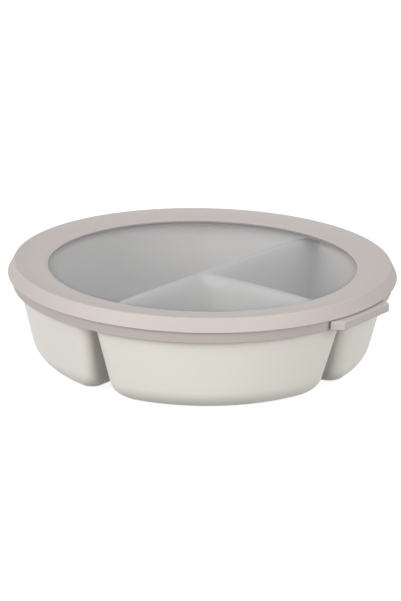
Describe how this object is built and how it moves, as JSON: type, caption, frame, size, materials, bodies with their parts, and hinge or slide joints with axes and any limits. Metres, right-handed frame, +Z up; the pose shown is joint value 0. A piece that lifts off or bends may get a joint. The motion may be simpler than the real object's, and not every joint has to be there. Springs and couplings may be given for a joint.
{
  "type": "lunch bowl with lid",
  "caption": "Round divided lunch bowl with three compartments, a lid with a flat translucent window, a soft ring round it and a pull tab.",
  "frame": {"origin": "on the bowl's vertical axis, at the plane it stands on", "axes": "+Z up along the bowl's axis; the picture is taken from the -Y side, with +X to its right, and the pull tab points 39.5 degrees from +X towards -Y"},
  "size_m": [0.1996, 0.1996, 0.0513],
  "materials": {
    "bowl_plastic": "matte off-white",
    "window_plastic": "glossy translucent grey",
    "ring_rubber": "soft matte pinkish grey"
  },
  "bodies": {
    "bowl_body": {"bowl": "bowl_plastic"},
    "lid": {"lid_window": "window_plastic", "lid_ring": "ring_rubber"},
    "tab": {"pull_tab": "ring_rubber"}
  },
  "joints": [
    {"name": "lid_lift", "type": "slide", "parent": "bowl_body", "child": "lid", "axis": [0, 0, 1], "range_m": [0, 0.07]},
    {"name": "tab_flex", "type": "hinge", "parent": "lid", "child": "tab", "pos_m": [0.07608, -0.06272, 0.0423], "axis": [-0.6361, -0.7716, 0], "range_deg": [-28, 10], "stiffness_Nm_per_rad": 0.02}
  ]
}
